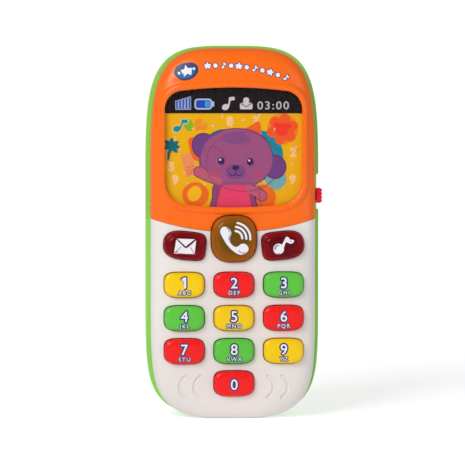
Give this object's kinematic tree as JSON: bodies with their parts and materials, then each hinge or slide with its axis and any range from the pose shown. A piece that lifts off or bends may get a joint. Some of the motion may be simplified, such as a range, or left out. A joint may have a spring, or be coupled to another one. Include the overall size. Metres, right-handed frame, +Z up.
{
  "type": "toy cell phone",
  "caption": "Chunky rounded toy phone in a two-part front and a rear shell, with a recessed picture window, sprung keypad keys, translucent function buttons, side slide switch and battery door.",
  "frame": {"origin": "middle of the footprint: the flat foot of the upright phone lies on z = 0, and the bounding box is centred within half a millimetre, less the slide switch's knob", "axes": "+Z up along the phone's length, -Y out of the keypad face, +X to the right as the keypad is looked at, +Y out of the battery door"},
  "size_m": [0.072, 0.031, 0.152],
  "materials": {
    "front_white": "semi-gloss moulded ABS",
    "case_orange": "semi-gloss moulded ABS",
    "case_green": "semi-gloss moulded ABS",
    "key_yellow": "gloss moulded ABS",
    "key_red": "gloss moulded ABS",
    "key_green": "gloss moulded ABS",
    "button_red": "translucent tinted plastic",
    "button_amber": "translucent tinted plastic",
    "lens_clear": "clear ribbed lens sheet",
    "picture_print": "printed card",
    "rubber_grey": "silicone rubber",
    "board_green": "solder resist on phenolic board",
    "chip_black": "epoxy",
    "can_dark": "plastic-sleeved can",
    "led_clear": "clear epoxy",
    "screw_steel": "zinc plated",
    "switch_steel": "tinned steel",
    "switch_black": "nylon",
    "knob_red": "moulded ABS",
    "speaker_steel": "pressed steel",
    "magnet_dark": "ferrite magnet",
    "cone_paper": "polyester film",
    "battery_skin": "plain shrink sleeve on steel can",
    "contact_nickel": "nickel plated spring steel",
    "wire_red": "PVC insulation",
    "wire_black": "PVC insulation",
    "wire_yellow": "PVC insulation"
  },
  "bodies": {
    "casing": {"front_case": "front_white", "screen_bezel": "case_orange", "rear_case": "case_green", "picture_lens": "lens_clear", "picture_card": "picture_print", "keypad_mat": "rubber_grey", "main_pcb": "board_green", "sound_chip": "chip_black", "capacitor": "can_dark", "led_mail": "led_clear", "led_call": "led_clear", "led_music": "led_clear", "pcb_screw_1": "screw_steel", "pcb_screw_2": "screw_steel", "pcb_screw_3": "screw_steel", "pcb_screw_4": "screw_steel", "case_screw_1": "screw_steel", "case_screw_2": "screw_steel", "case_screw_3": "screw_steel", "case_screw_4": "screw_steel", "slide_switch_body": "switch_steel", "speaker_frame": "speaker_steel", "speaker_magnet": "magnet_dark", "speaker_cone": "cone_paper", "battery_1": "battery_skin", "battery_2": "battery_skin", "contact_bridge": "contact_nickel", "contact_positive": "contact_nickel", "contact_negative": "contact_nickel", "contact_spring_top": "contact_nickel", "contact_spring_bottom": "contact_nickel", "battery_wire_red": "wire_red", "battery_wire_black": "wire_black", "speaker_wire_1": "wire_yellow", "speaker_wire_2": "wire_yellow"},
    "key_1_body": {"key_1": "key_yellow"},
    "key_2_body": {"key_2": "key_red"},
    "key_3_body": {"key_3": "key_green"},
    "key_4_body": {"key_4": "key_green"},
    "key_5_body": {"key_5": "key_yellow"},
    "key_6_body": {"key_6": "key_red"},
    "key_7_body": {"key_7": "key_red"},
    "key_8_body": {"key_8": "key_green"},
    "key_9_body": {"key_9": "key_yellow"},
    "key_0_body": {"key_0": "key_red"},
    "mail_button_body": {"mail_button": "button_red"},
    "call_button_body": {"call_button": "button_amber"},
    "music_button_body": {"music_button": "button_red"},
    "power_slider": {"slide_switch_knob": "knob_red", "slide_switch_lever": "switch_black"},
    "battery_cover": {"battery_door": "case_green", "battery_door_screw": "screw_steel"}
  },
  "joints": [
    {"name": "key_1_press", "type": "slide", "parent": "casing", "child": "key_1_body", "axis": [0, 1, 0], "range_m": [0, 0.0012], "stiffness_N_per_m": 800, "springref_m": -0.0005},
    {"name": "key_2_press", "type": "slide", "parent": "casing", "child": "key_2_body", "axis": [0, 1, 0], "range_m": [0, 0.0012], "stiffness_N_per_m": 800, "springref_m": -0.0005},
    {"name": "key_3_press", "type": "slide", "parent": "casing", "child": "key_3_body", "axis": [0, 1, 0], "range_m": [0, 0.0012], "stiffness_N_per_m": 800, "springref_m": -0.0005},
    {"name": "key_4_press", "type": "slide", "parent": "casing", "child": "key_4_body", "axis": [0, 1, 0], "range_m": [0, 0.0012], "stiffness_N_per_m": 800, "springref_m": -0.0005},
    {"name": "key_5_press", "type": "slide", "parent": "casing", "child": "key_5_body", "axis": [0, 1, 0], "range_m": [0, 0.0012], "stiffness_N_per_m": 800, "springref_m": -0.0005, "deforming": ["keypad_mat"]},
    {"name": "key_6_press", "type": "slide", "parent": "casing", "child": "key_6_body", "axis": [0, 1, 0], "range_m": [0, 0.0012], "stiffness_N_per_m": 800, "springref_m": -0.0005},
    {"name": "key_7_press", "type": "slide", "parent": "casing", "child": "key_7_body", "axis": [0, 1, 0], "range_m": [0, 0.0012], "stiffness_N_per_m": 800, "springref_m": -0.0005},
    {"name": "key_8_press", "type": "slide", "parent": "casing", "child": "key_8_body", "axis": [0, 1, 0], "range_m": [0, 0.0012], "stiffness_N_per_m": 800, "springref_m": -0.0005},
    {"name": "key_9_press", "type": "slide", "parent": "casing", "child": "key_9_body", "axis": [0, 1, 0], "range_m": [0, 0.0012], "stiffness_N_per_m": 800, "springref_m": -0.0005},
    {"name": "key_0_press", "type": "slide", "parent": "casing", "child": "key_0_body", "axis": [0, 1, 0], "range_m": [0, 0.0012], "stiffness_N_per_m": 800, "springref_m": -0.0005},
    {"name": "mail_button_press", "type": "slide", "parent": "casing", "child": "mail_button_body", "axis": [0, 1, 0], "range_m": [0, 0.0012], "stiffness_N_per_m": 900, "springref_m": -0.0005},
    {"name": "call_button_press", "type": "slide", "parent": "casing", "child": "call_button_body", "axis": [0, 1, 0], "range_m": [0, 0.0012], "stiffness_N_per_m": 900, "springref_m": -0.0005},
    {"name": "music_button_press", "type": "slide", "parent": "casing", "child": "music_button_body", "axis": [0, 1, 0], "range_m": [0, 0.0012], "stiffness_N_per_m": 900, "springref_m": -0.0005},
    {"name": "power_slide", "type": "slide", "parent": "casing", "child": "power_slider", "axis": [0, 0, 1], "range_m": [0, 0.004]},
    {"name": "battery_door_hinge", "type": "hinge", "parent": "casing", "child": "battery_cover", "pos_m": [0, 0.01445, 0.02215], "axis": [-1, 0, 0], "range_deg": [0, 75]}
  ]
}
